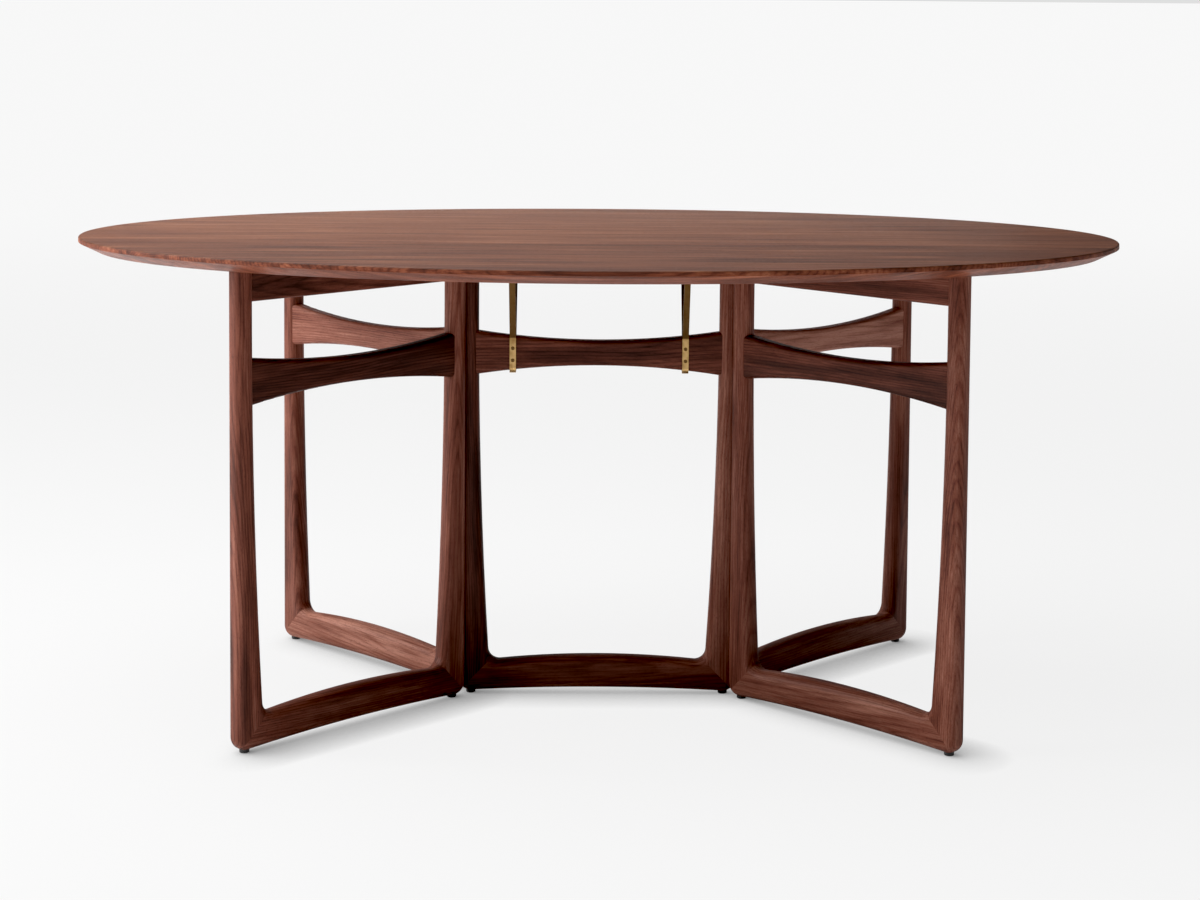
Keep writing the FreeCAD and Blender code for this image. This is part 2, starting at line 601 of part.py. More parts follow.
for side, side_name in ((-1, "left"), (1, "right")):
    for face, face_name in ((-1, "front"), (1, "back")):
        gate = f"{face_name}_{side_name}_gate"
        posts, bottom, middle, upper = frame(gate, side, face)
        pin_x, pin_y = f"{-side} * PinAlong", f"{-face} * PinAcross"
        plates, seats = [], []
        for k, foot in enumerate(("HingeLow", "HingeHigh")):
            name = f"{gate}_leaf{k}"
            near = "KnuckleRadius + KnuckleClear"
            plate_x = f"{pin_x} + {near}" if side > 0 else f"{pin_x} - HingeReach"
            tongue_x = pin_x if side > 0 else f"{pin_x} - ({near})"
            plate_y = f"{pin_y} - HingeOffset - HingePlate" if face < 0 else f"{pin_y} + HingeOffset"
            low_share = 2 * third_share if face < 0 else 0
            plate = box(name + "_plate", f"HingeReach - ({near})", "HingePlate", "HingeHeight",
                        plate_x, plate_y, foot)
            tongue = box(name + "_tongue", near, "HingePlate", "HingeHeight / 3 - KnuckleGap",
                         tongue_x, plate_y, f"{foot} + HingeHeight * {low_share} + KnuckleGap / 2")
            barrel = knuckle(name + "_barrel", foot, low_share, low_share + third_share, pin_x, pin_y)
            hole = rod(name + "_hole", "HingePinRadius + PinFit", "HingeHeight", pin_x, pin_y, foot)
            plates.append(cut(name, fused(name + "_whole", plate, tongue, barrel), hole).Shape)
            head_y = value(f"{pin_y} + {face} * HingeOffset")
            for height in (f"{foot} + ScrewEdge", f"{foot} + HingeHeight - ScrewEdge"):
                seats.append((value(f"{pin_x} + {side} * ScrewSet"), head_y, value(height), (0, -face, 0)))
        gate_screws = screws(gate + "_screws_set", seats)
        gate_bores = bores(gate + "_bores", seats)
        gate_leaves = group(gate + "_leaves_pair", plates)
        for obj in (gate_screws, gate_bores, gate_leaves):
            place(obj, side, face)
        keep(gate_screws, gate + "_hinge_screws")
        keep(cut(gate + "_leaves_drilled", gate_leaves, gate_bores), gate + "_hinge_leaves")
        keep(cut(gate + "_inner_post_drilled", posts[-side], gate_bores), gate + "_inner_post")
        keep(posts[side], gate + "_outer_post")
        keep(bottom, gate + "_bottom_rail")
        keep(cut(gate + "_mid_rail_cut", middle, posts[-1], posts[1]), gate + "_mid_rail")
        keep(cut(gate + "_top_rail_cut", upper, posts[-1], posts[1]), gate + "_top_rail")


# Oval top, shaped in one and parted by two rule joints

def ellipse(name, inset, z):
    curve = doc.addObject("Part::Ellipse", name)
    bind(curve, MajorRadius=f"TopLength / 2 - {inset}", MinorRadius=f"TopWidth / 2 - {inset}",
         Placement_Base_z=z)
    return curve


edge_line = ellipse("top_edge_line", "0", "TableHeight - EdgeUpright")
foot_line = ellipse("top_foot_line", "BevelRun", "FrameTop")
slab = doc.addObject("Part::Extrusion", "top_slab")
slab.Base = edge_line
slab.DirMode = "Custom"
slab.Dir = Vector(0, 0, 1)
slab.Solid = True
bind(slab, LengthFwd="EdgeUpright")
bevel = doc.addObject("Part::Loft", "top_bevel")
bevel.Sections = [foot_line, edge_line]
bevel.Solid = True
bevel.Ruled = True
whole_top = fused("top_whole", slab, bevel)
top_round = doc.addObject("Part::Fillet", "top_round")
top_round.Base = whole_top
rim = [k for k, edge in enumerate(whole_top.Shape.Edges, 1)
       if min(v.Z for v in edge.Vertexes) > value("TableHeight - EdgeUpright / 2")]
top_round.Edges = [(k, value("ArrisRadius"), value("ArrisRadius")) for k in rim]
doc.recompute()

board_points = [("JointY", "TableHeight + Overrun"), ("JointY", "TableHeight - RuleStep"),
                ("JointY + RuleRadius", "FlapPinZ"), ("JointY + RuleRadius", "FrameTop - Overrun")]
board_points += [(f"-({y})", z) for y, z in reversed(board_points)]
board_block = padded("board_block", "YZ_Plane", board_points,
                     {1: ("RuleRadius", -1), 5: ("RuleRadius", -1)}, "TopLength + 2 * Overrun")
panels = {}
common = doc.addObject("Part::Common", "centre_board_shaped")
common.Base, common.Tool = top_round, board_block
panels[0] = common
for face, name in ((-1, "front_leaf"), (1, "back_leaf")):
    points = [("JointY + RuleClear", "TableHeight + Overrun"), ("JointY + RuleClear", "CoveTop"),
              ("JointY + CoveRadius", "FlapPinZ"), ("JointY + CoveRadius", "FrameTop - Overrun"),
              ("TopWidth / 2 + Overrun", "FrameTop - Overrun"),
              ("TopWidth / 2 + Overrun", "TableHeight + Overrun")]
    points = [(f"{face} * ({y})", z) for y, z in points]
    block = padded(name + "_block", "YZ_Plane", points, {1: ("CoveRadius", -face)},
                   "TopLength + 2 * Overrun")
    common = doc.addObject("Part::Common", name + "_shaped")
    common.Base, common.Tool = top_round, block
    panels[face] = common
doc.recompute()

# Leaf hinges, let in flush, with their pins on the rule joints' centres

flap_seats = {-1: [], 1: []}
for face, name in ((-1, "front_leaf"), (1, "back_leaf")):
    short, long, pin_set, hollow, groove = [], [], [], [], []
    wide, third = value("FlapWidth"), value("FlapWidth / 3")
    for column in (-1, 0, 1):
        label = f"{name}_hinge{column + 1}"
        middle_x = f"{column} * FlapSpacing"
        left_x = f"{middle_x} - FlapWidth / 2"
        axis = Vector(1, 0, 0)
        pin_y, pin_z = f"{face} * JointY", "FlapPinZ"
        plate_z = "FrameTop + FlapFlush"
        short_y = f"{pin_y}" if face < 0 else f"{pin_y} - FlapShort"
        long_y = f"{pin_y} - FlapLong" if face < 0 else pin_y
        free = "FlapKnuckle + RuleClear"
        board_plate = box(label + "_board_plate", "FlapWidth", f"FlapShort - ({free})", "FlapPlate", left_x,
                          f"{short_y} + {free}" if face < 0 else short_y, plate_z)
        leaf_plate = box(label + "_leaf_plate", "FlapWidth", f"FlapLong - ({free})", "FlapPlate", left_x,
                         long_y if face < 0 else f"{long_y} + {free}", plate_z)
        board_barrels, leaf_barrels = [], []
        for n in range(3):
            part_x = f"{left_x} + {n} * FlapWidth / 3 + PinFit"
            barrel = rod(f"{label}_barrel{n}", "FlapKnuckle", "FlapWidth / 3 - 2 * PinFit", part_x, pin_y, pin_z,
                         axis)
            mine = n != 1
            tongue_y = f"{pin_y} - ({free})" if mine == (face > 0) else pin_y
            tongue = box(f"{label}_tongue{n}", "FlapWidth / 3 - 2 * PinFit", free, "FlapPlate", part_x,
                         tongue_y, plate_z)
            (board_barrels if mine else leaf_barrels).extend((barrel, tongue))
        hole = rod(label + "_hole", "FlapPinRadius + PinFit", "FlapWidth", left_x, pin_y, pin_z, axis)
        for plate, barrels, kept, word in ((board_plate, board_barrels, short, "short"),
                                           (leaf_plate, leaf_barrels, long, "long")):
            made = cut(f"{label}_{word}", fused(f"{label}_{word}_whole", plate, *barrels), hole)
            kept.append(made.Shape)
        pin = rod(label + "_pin", "FlapPinRadius", "FlapWidth", left_x, pin_y, pin_z, axis)
        doc.recompute()
        pin_set.append(pin.Shape)
        ease = "RecessClear"
        hollow.append(box(label + "_hollow", f"FlapWidth + 2 * {ease}", f"FlapShort + FlapLong + 2 * {ease}",
                          f"FlapFlush + FlapPlate + Overrun", f"{left_x} - {ease}",
                          f"{pin_y} - FlapLong - {ease}" if face < 0 else f"{pin_y} - FlapShort - {ease}",
                          "FrameTop - Overrun"))
        groove.append(rod(label + "_groove", "FlapKnuckle + RuleClear", f"FlapWidth + 2 * {ease}",
                          f"{left_x} - {ease}", pin_y, pin_z, axis))
        groove.append(box(label + "_mouth", f"FlapWidth + 2 * {ease}", "2 * FlapKnuckle + 2 * RuleClear",
                          "FlapPinLift", f"{left_x} - {ease}", f"{pin_y} - FlapKnuckle - RuleClear", "FrameTop"))
        for way in (-1, 1):
            for edge in (-1, 1):
                reach = "FlapShort" if way == -face else "FlapLong"
                flap_seats[face].append((value(f"{middle_x} + {edge} * (FlapWidth / 2 - FlapScrewEdge)"),
                                         value(f"{pin_y} + {way} * ({reach} - FlapScrewSet)"),
                                         value(plate_z), (0, 0, -1)))
    seats = flap_seats[face]
    keep(screws(name + "_screws_set", seats), name + "_hinge_screws")
    seat_bores = bores(name + "_bores", seats)
    short_set, long_set = group(name + "_short_set", short), group(name + "_long_set", long)
    keep(cut(name + "_short_drilled", short_set, seat_bores), name + "_hinge_board_plates")
    keep(cut(name + "_long_drilled", long_set, seat_bores), name + "_hinge_leaf_plates")
    keep(group(name + "_pin_set", pin_set), name + "_hinge_pins")
    recess = fused(name + "_recess", *hollow, *groove)
    panels[0] = cut(f"centre_board_{name}_cut", panels[0], recess, seat_bores)
    panels[face] = cut(name + "_cut", panels[face], recess, seat_bores)
    keep(panels[face], name)
keep(cut("centre_board_drilled", panels[0], stay_bores), "centre_board")

# Every object is sound before anything is written

doc.recompute()
for obj in doc.Objects:
    if "Invalid" in obj.State or "Error" in obj.State:
        raise RuntimeError(f"{obj.Label} failed: {obj.State}")
for obj in parts:
    if obj.Shape.isNull() or not obj.Shape.isValid() or not obj.Shape.Solids:
        raise RuntimeError(f"{obj.Label} has no sound shape")
os.makedirs("parts", exist_ok=True)
for obj in parts:
    obj.Shape.exportStep(f"parts/{obj.Label}.step")
    print(obj.Label, len(obj.Shape.Solids), round(obj.Shape.Volume))
print(len(parts), "parts")
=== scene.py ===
from math import cos, radians, sin

import bpy
from mathutils import Euler, Matrix, Vector


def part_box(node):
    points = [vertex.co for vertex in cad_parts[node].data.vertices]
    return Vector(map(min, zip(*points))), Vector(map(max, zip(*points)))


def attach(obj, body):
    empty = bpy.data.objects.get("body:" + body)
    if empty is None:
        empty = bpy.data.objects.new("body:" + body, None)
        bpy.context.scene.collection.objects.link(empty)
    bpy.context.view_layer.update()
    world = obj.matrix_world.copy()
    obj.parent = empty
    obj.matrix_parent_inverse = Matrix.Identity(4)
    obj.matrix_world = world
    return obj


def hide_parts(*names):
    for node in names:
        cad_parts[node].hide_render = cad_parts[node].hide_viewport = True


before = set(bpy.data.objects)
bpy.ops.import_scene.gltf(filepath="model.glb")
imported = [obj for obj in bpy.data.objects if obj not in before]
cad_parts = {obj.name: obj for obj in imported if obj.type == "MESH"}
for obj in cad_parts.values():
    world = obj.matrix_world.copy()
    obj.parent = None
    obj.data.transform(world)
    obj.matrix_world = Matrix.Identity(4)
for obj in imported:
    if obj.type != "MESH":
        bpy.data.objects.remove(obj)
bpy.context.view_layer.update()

# The studio: a pale floor that runs to the horizon, a large soft light on the left, a broad one above, a low
# strip behind the top, and a camera in front at 1.12 m. The floor gives some light of its own, so it is
# dimmed beside the feet on the side away from the large light.


def new_material(name):
    """A material with nothing in its node tree."""
    material = bpy.data.materials.new(name)
    material.use_nodes = True
    material.node_tree.nodes.clear()
    return material


def add_node(tree, kind, inputs=(), **settings):
    """A shader node. Each input gets a number, vector or colour, or is wired to another node's output."""
    node = tree.nodes.new("ShaderNode" + kind)
    for name, value in settings.items():
        setattr(node, name, value)
    for name, value in dict(inputs).items():
        if isinstance(value, bpy.types.NodeSocket):
            tree.links.new(value, node.inputs[name])
        else:
            node.inputs[name].default_value = value
    return node


# How far the floor reaches in metres, its paint, and how often and how much mottling darkens that
FLOOR_REACH = 4000
FLOOR_PAINT = (0.055, 0.055, 0.055, 1)
MOTTLES_A_METRE, DARKEST_MOTTLE = 1.3, 0.985
# The floor's own light near the table and far off, and how far from the middle it starts to grow and is full
FLOOR_GLOW_NEAR, FLOOR_GLOW_FAR = 0.855, 0.927
GLOW_GROWS_FROM, GLOW_FULL_AT = 1.5, 9
# The share of light that the floor throws back on the table, in the open and underneath, and its fill light
FLOOR_BOUNCE, FLOOR_BOUNCE_UNDER = 0.90, 0.70
FLOOR_LIT = 0.62
# Half the size of the oval with a painted shade under the table, and where its fade starts and ends, as
# shares of that
UNDER_LENGTH, UNDER_DEPTH = 0.80, 0.50
FADE_START, FADE_END = 0.75, 1.15
# The way to the large light, how far from a foot its shadow reaches, and how often that is tested
SHADOW_SIDE, SHADOW_REACH, SHADOW_TESTS = (-0.75, 0.10, 0.66), 0.08, 6

# One triangle, so that no seam between two faces crosses the picture
bpy.ops.object.select_all(action="DESELECT")
bpy.ops.mesh.primitive_circle_add(vertices=3, radius=FLOOR_REACH, fill_type="NGON", location=(0, 0, 0))
floor = bpy.context.object
floor.name = "studio_floor"
paper = new_material("floor_paper")
tree = paper.node_tree
place = add_node(tree, "TexCoord").outputs["Object"]

# What the camera sees: faintly mottled paper that glows, with a painted soft shadow beside whatever stands
# on it
mottle = add_node(tree, "TexNoise", {"Vector": place, "Scale": MOTTLES_A_METRE, "Detail": 3})
shade = add_node(tree, "MapRange", {"Value": mottle.outputs["Fac"], "To Min": DARKEST_MOTTLE, "To Max": 1})
pale = add_node(tree, "Mix", {"Factor": 1, "A": FLOOR_PAINT, "B": shade.outputs["Result"]},
                data_type="RGBA", blend_type="MULTIPLY")
matt = add_node(tree, "BsdfDiffuse", {"Color": pale.outputs["Result"]})
away = add_node(tree, "VectorMath", {0: place}, operation="LENGTH")
glow = add_node(tree, "MapRange",
                {"Value": away.outputs["Value"], "From Min": GLOW_GROWS_FROM, "From Max": GLOW_FULL_AT,
                 "To Min": FLOOR_GLOW_NEAR, "To Max": FLOOR_GLOW_FAR}, interpolation_type="SMOOTHSTEP")
to_light = add_node(tree, "CombineXYZ", zip("XYZ", SHADOW_SIDE))
painted_contact_shadow = add_node(tree, "AmbientOcclusion",
                   {"Normal": to_light.outputs["Vector"], "Distance": SHADOW_REACH}, samples=SHADOW_TESTS)
dimmed = add_node(tree, "Math", {0: glow.outputs["Result"], 1: painted_contact_shadow.outputs["AO"]}, operation="MULTIPLY")
lift = add_node(tree, "Emission", {"Strength": dimmed.outputs["Value"]})
seen = add_node(tree, "AddShader", {0: matt.outputs["BSDF"], 1: lift.outputs["Emission"]})

# What lights the table from below: light thrown back and a fill, both with a painted shade under the table
under = add_node(tree, "VectorMath", {0: place, 1: (1 / UNDER_LENGTH, 1 / UNDER_DEPTH, 0)},
                 operation="MULTIPLY")
spread = add_node(tree, "VectorMath", {0: under.outputs["Vector"]}, operation="LENGTH")
fade = {"Value": spread.outputs["Value"], "From Min": FADE_START, "From Max": FADE_END}
thrown = add_node(tree, "MapRange", {**fade, "To Min": FLOOR_BOUNCE_UNDER, "To Max": FLOOR_BOUNCE})
thrown_back = add_node(tree, "BsdfDiffuse", {"Color": thrown.outputs["Result"]})
lit = add_node(tree, "MapRange", {**fade, "To Max": FLOOR_LIT})
fill = add_node(tree, "Emission", {"Strength": lit.outputs["Result"]})
bounce = add_node(tree, "AddShader", {0: thrown_back.outputs["BSDF"], 1: fill.outputs["Emission"]})
ray = add_node(tree, "LightPath").outputs["Is Camera Ray"]
which = add_node(tree, "MixShader", {"Fac": ray, 1: bounce.outputs["Shader"], 2: seen.outputs["Shader"]})
add_node(tree, "OutputMaterial", {"Surface": which.outputs["Shader"]})
floor.data.materials.append(paper)

# The room's air: an even pale wall for the camera, and for the table dim light that grows to the back left
SKY_SHOWN = 0.927
SKY_DIM, SKY_BRIGHT = 0.02, 0.42
SKY_BRIGHT_WAY, SKY_DIM_UNTIL = (-0.55, 0.80, 0.25), -0.4

world = bpy.data.worlds.new("studio_air")
bpy.context.scene.world = world
world.use_nodes = True
tree = world.node_tree
tree.nodes.clear()
around = add_node(tree, "TexCoord").outputs["Generated"]
facing = add_node(tree, "VectorMath", {0: around, 1: SKY_BRIGHT_WAY}, operation="DOT_PRODUCT")
sky = add_node(tree, "MapRange", {"Value": facing.outputs["Value"], "From Min": SKY_DIM_UNTIL,
                                  "To Min": SKY_DIM, "To Max": SKY_BRIGHT})
ray = add_node(tree, "LightPath").outputs["Is Camera Ray"]
strength = add_node(tree, "MapRange", {"Value": ray, "To Min": sky.outputs["Result"], "To Max": SKY_SHOWN})
air = add_node(tree, "Background", {"Strength": strength.outputs["Result"]})
add_node(tree, "OutputWorld", {"Surface": air.outputs["Background"]})

# Each softbox: its place and the point it faces, its width and height in metres, and its power in watts
LIGHTS = (("key_light", (-3.2, -0.5, 1.9), (0, 0, 0.45), 1.6, 1.7, 130),
          ("top_light", (-1.0, -0.1, 2.9), (-1.0, -0.1, 0), 2.4, 2.8, 120),
          ("back_light", (-0.1, 1.15, 0.86), (0, 0.1, 0.74), 2.0, 0.12, 1.5))
for name, where, aim, width, height, power in LIGHTS:
    lamp = bpy.data.lights.new(name, "AREA")
    lamp.shape = "RECTANGLE"
    lamp.size = width
    lamp.size_y = height
    lamp.energy = power
    light = bpy.data.objects.new(name, lamp)
    light.location = where
    light.rotation_euler = (Vector(aim) - Vector(where)).to_track_quat("-Z", "Y").to_euler()
    light.visible_camera = False
    bpy.context.collection.objects.link(light)

# The camera, fitted to the photograph: its place in metres, its turns in radians, the width of its film in
# millimetres, and its focal length and the middle of its view in pixels of the whole image
CAMERA_PLACE = (-0.0220, -3.7612, 1.1214)
PITCH, YAW, ROLL = 0.0696, 0.0124, 0.0081
FILM_WIDTH = 36
FOCAL_PIXELS, MIDDLE_X, MIDDLE_Y = 2371.3453, 616.0881, 161.4250
IMAGE_WIDTH, IMAGE_HEIGHT = 1200, 900

ahead = Vector((cos(PITCH) * sin(YAW), cos(PITCH) * cos(YAW), -sin(PITCH)))
level = Vector((cos(YAW), -sin(YAW), 0))
upward = level.cross(ahead)
right = cos(ROLL) * level + sin(ROLL) * upward
up = cos(ROLL) * upward - sin(ROLL) * level
lens = bpy.data.cameras.new("photo_view")
lens.sensor_width = FILM_WIDTH
lens.lens = FOCAL_PIXELS * FILM_WIDTH / IMAGE_WIDTH
lens.shift_x = (IMAGE_WIDTH / 2 - MIDDLE_X) / IMAGE_WIDTH
lens.shift_y = (MIDDLE_Y - IMAGE_HEIGHT / 2) / IMAGE_WIDTH
camera = bpy.data.objects.new("photo_view", lens)
camera.matrix_world = Matrix((
    (right.x, up.x, -ahead.x, CAMERA_PLACE[0]),
    (right.y, up.y, -ahead.y, CAMERA_PLACE[1]),
    (right.z, up.z, -ahead.z, CAMERA_PLACE[2]),
    (0, 0, 0, 1)))
bpy.context.collection.objects.link(camera)
bpy.context.scene.camera = camera

# The darkest shades come out a little deeper, as in the photograph
BLACK_AT = 0.009
view = bpy.context.scene.view_settings
view.view_transform = "Standard"
view.use_curve_mapping = True
view.curve_mapping.black_level = (BLACK_AT, BLACK_AT, BLACK_AT)

# The oval top: a fixed board and two leaves of solid walnut, each glued up from staves along the grain,
# shaped as one and parted by two rule joints. Oiled, so it has a dull sheen.


def new_group(name, inputs, outputs):
    """A group of shader nodes with the sockets named, and its input and output nodes."""
    group = bpy.data.node_groups.new(name, "ShaderNodeTree")
    for way, sockets in (("INPUT", inputs), ("OUTPUT", outputs)):
        for label, kind in sockets.items():
            group.interface.new_socket(name=label, in_out=way, socket_type="NodeSocket" + kind)
    return group, group.nodes.new("NodeGroupInput"), group.nodes.new("NodeGroupOutput")


def set_stops(ramp, stops):
    """The stops of a colour ramp: each a place from 0 to 1 and a colour."""
    for k, (spot, colour) in enumerate(stops):
        stop = ramp.color_ramp.elements[k] if k < 2 else ramp.color_ramp.elements.new(spot)
        stop.position = spot
        stop.color = (*colour, 1)


# One growth ring from pale early wood to its dark late line, as places in the ring and grey levels
RING = ((0.0, 0.35), (0.30, 0.62), (0.70, 0.52), (0.93, 0.12), (1.0, 0.35))
# How far the pith wanders in metres, how uneven the rings are, and how much they add to the shade
PITH_WANDERS, RINGS_UNEVEN, RING_SHARE = 0.05, 1.6, 0.55
# Noise: how often it changes in a metre along and across the grain, its detail and its roughness
PITH_NOISE, RING_NOISE = (1.6, 7, 2, 0.55), (0.8, 30, 2, 0.55)
PORE_NOISE, ROW_NOISE = (130, 2600, 1, 0.55), (17, 760, 2, 0.7)
# The other layers of the figure, each as its noise and how much that adds to the shade
LAYERS = {"broad": ((1.1, 14, 3, 0.55), 0.30), "band": ((3.8, 46, 3, 0.6), 1.10),
          "streak": ((5.5, 140, 4, 0.6), 0.65), "fibre": ((7, 640, 3, 0.7), 0.50)}
# What centres the sum of all these, and walnut from its darkest to its palest shade
MIDDLE_SHADE = 0.995
WALNUT = ((0.0, (0.022, 0.0055, 0.0030)), (0.35, (0.085, 0.025, 0.0140)), (0.55, (0.150, 0.049, 0.029)),
          (0.78, (0.225, 0.094, 0.060)), (1.0, (0.330, 0.160, 0.110)))
# Levels of their noise at which a single pore and a row of pores start and are full, how full a row gets,
# and how much both darken the wood
PORE_FROM, PORE_TO = 0.61, 0.70
ROW_FROM, ROW_TO, ROW_FULL = 0.53, 0.68, 0.65
PORE_TINT = (0.42, 0.36, 0.34, 1)
# Roughness of the darkest and the palest streaks, what a pore adds to it, and how high fibres stand
DARK_ROUGHNESS, PALE_ROUGHNESS, PORE_ROUGHNESS = 0.62, 0.48, 0.15
FIBRE_HEIGHT = 0.35


def walnut_figure():
    """Walnut as a solid block. Log has its first axis along the grain and its origin on the pith."""
    tree, given, made = new_group(
        "walnut_figure", {"Log": "Vector", "Ring Width": "Float", "Tone": "Float", "Cast": "Color"},
        {"Color": "Color", "Roughness": "Float", "Height": "Float"})

    def stretched(along, across, detail, rough):
        """What noise drawn out along the grain gives."""
        squeeze = add_node(tree, "VectorMath", {0: given.outputs["Log"], 1: (along, across, across)},
                           operation="MULTIPLY")
        noise = add_node(tree, "TexNoise", {"Vector": squeeze.outputs["Vector"], "Scale": 1,
                                            "Detail": detail, "Roughness": rough})
        return noise.outputs

    def worked(operation, *values):
        """One step of arithmetic."""
        return add_node(tree, "Math", enumerate(values), operation=operation).outputs["Value"]

    # Rings round the pith, which wanders as the tree grew
    wander = stretched(*PITH_NOISE)["Color"]
    bent = add_node(tree, "VectorMath",
                    {0: wander, 1: (0, PITH_WANDERS, PITH_WANDERS), 2: given.outputs["Log"]},
                    operation="MULTIPLY_ADD")
    apart = add_node(tree, "SeparateXYZ", {"Vector": bent.outputs["Vector"]})
    aside, deep = apart.outputs["Y"], apart.outputs["Z"]
    span = worked("POWER", worked("MULTIPLY_ADD", aside, aside, worked("MULTIPLY", deep, deep)), 0.5)
    rings_out = worked("DIVIDE", span, given.outputs["Ring Width"])
    uneven = stretched(*RING_NOISE)["Fac"]
    turns = worked("MULTIPLY_ADD", uneven, RINGS_UNEVEN, rings_out)
    ring = add_node(tree, "ValToRGB", {"Fac": worked("FRACT", turns)})
    ring.color_ramp.interpolation = "B_SPLINE"
    set_stops(ring, [(spot, (grey, grey, grey)) for spot, grey in RING])

    # The shade of the wood, from broad bands down to single fibres
    shade = worked("MULTIPLY_ADD", ring.outputs["Color"], RING_SHARE, given.outputs["Tone"])
    level = {}
    for layer, (noise, share) in LAYERS.items():
        level[layer] = stretched(*noise)["Fac"]
        shade = worked("MULTIPLY_ADD", level[layer], share, shade)
    wood = add_node(tree, "ValToRGB", {"Fac": worked("SUBTRACT", shade, MIDDLE_SHADE)})
    set_stops(wood, WALNUT)

    # Open pores, single and in rows
    pore = stretched(*PORE_NOISE)["Fac"]
    row = stretched(*ROW_NOISE)["Fac"]
    depth = add_node(tree, "MapRange", {"Value": pore, "From Min": PORE_FROM, "From Max": PORE_TO})
    rows = add_node(tree, "MapRange",
                    {"Value": row, "From Min": ROW_FROM, "From Max": ROW_TO, "To Max": ROW_FULL})
    open_grain = worked("MAXIMUM", depth.outputs["Result"], rows.outputs["Result"])
    dark = add_node(tree, "Mix", {"Factor": open_grain, "A": wood.outputs["Color"], "B": PORE_TINT},
                    data_type="RGBA", blend_type="MULTIPLY")
    cast = add_node(tree, "Mix", {"Factor": 1, "A": dark.outputs["Result"], "B": given.outputs["Cast"]},
                    data_type="RGBA", blend_type="MULTIPLY")
    tree.links.new(cast.outputs["Result"], made.inputs["Color"])

    gloss = add_node(tree, "MapRange",
                     {"Value": level["streak"], "To Min": DARK_ROUGHNESS, "To Max": PALE_ROUGHNESS})
    dull = worked("MULTIPLY_ADD", depth.outputs["Result"], PORE_ROUGHNESS, gloss.outputs["Result"])
    tree.links.new(dull, made.inputs["Roughness"])
    raised = worked("MULTIPLY", level["fibre"], FIBRE_HEIGHT)
    tree.links.new(worked("SUBTRACT", raised, depth.outputs["Result"]), made.inputs["Height"])
    return tree


figure = walnut_figure()
# How strongly pores and fibres show in relief, and how deep they go in metres
GRAIN_RELIEF, GRAIN_DEPTH = 0.25, 0.00025


def oiled(tree, log, ring_width, tone, cast, sheen):
    """The oil finish: the figure's colour, sheen and open pores on one surface."""
    grain = add_node(tree, "Group", {"Log": log, "Ring Width": ring_width, "Tone": tone, "Cast": cast},
                     node_tree=figure)
    relief = add_node(tree, "Bump", {"Strength": GRAIN_RELIEF, "Distance": GRAIN_DEPTH,
                                     "Height": grain.outputs["Height"]})
    finish = add_node(tree, "BsdfPrincipled",
                      {"Base Color": grain.outputs["Color"], "Roughness": grain.outputs["Roughness"],
                       "Normal": relief.outputs["Normal"], "Specular IOR Level": sheen})
    add_node(tree, "OutputMaterial", {"Surface": finish.outputs["BSDF"]})


# Points this close in metres become one, and edges up to this angle are smooth
MERGED_WITHIN, SMOOTH_UP_TO = 0.000002, radians(34)


def seen_copy(node, body, material):
    """A merged and smoothed copy of a piece, which shows in its place."""
    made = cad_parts[node]
    piece = bpy.data.objects.new(node + "_finished", made.data.copy())
    bpy.context.collection.objects.link(piece)
    bpy.ops.object.select_all(action="DESELECT")
    piece.select_set(True)
    bpy.context.view_layer.objects.active = piece
    bpy.ops.object.mode_set(mode="EDIT")
    bpy.ops.mesh.select_all(action="SELECT")
    bpy.ops.mesh.remove_doubles(threshold=MERGED_WITHIN)
    bpy.ops.mesh.customdata_custom_splitnormals_clear()
    bpy.ops.object.mode_set(mode="OBJECT")
    bpy.ops.object.shade_smooth_by_angle(angle=SMOOTH_UP_TO)
    even = piece.modifiers.new("even", "WEIGHTED_NORMAL")
    even.keep_sharp = True
    bpy.ops.object.modifier_apply(modifier=even.name)
    piece.data.materials.clear()
    piece.data.materials.append(material)
    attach(piece, body)
    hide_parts(node)


# Each stave's front edge in metres, its place along and across the log, and its shade, all three from 0 to 1
# The shades are partly each stave's own tone and partly painted light: darker at the front, paler at the
# back
STAVES = ((-0.500, 0.31, 0.62, 0.23), (-0.405, 0.77, 0.21, 0.14), (-0.305, 0.12, 0.83, 0.24),
          (-0.252, 0.58, 0.44, 0.20), (-0.1252, 0.93, 0.15, 0.42), (-0.045, 0.41, 0.70, 0.34),
          (0.030, 0.05, 0.35, 0.52), (0.1252, 0.66, 0.92, 0.44), (0.205, 0.24, 0.08, 0.58),
          (0.290, 0.87, 0.53, 0.46), (0.365, 0.50, 0.27, 0.56), (0.430, 0.17, 0.75, 0.50))
FIRST_EDGE = STAVES[0][0]
# The length and width of log that the staves are taken from, in metres, and the tones of shades 0 and 1
LOG_TAKEN = (5, 0.9, 0)
DARKEST_STAVE, PALEST_STAVE = -0.22, 0.18
# How fine the top's figure is, where its pith lies, the width of its rings and its sheen
TOP_SCALE, TOP_PITH = (0.8, 1.4, 1.4), (0, -0.63, -0.924)
TOP_RING_WIDTH, TOP_SHEEN = 0.0045, 0.20
# The cast of the face, the paler, warmer one of the rim and the bevel, a painted light on these downward
# faces, and the heights from one to the other
FACE_CAST, RIM_PAINTED_LIGHT = (0.93, 0.98, 0.78, 1), (1.36, 1.17, 0.95, 1)
FACE_DOWN_TO, RIM_UP_TO = 0.7392, 0.7375

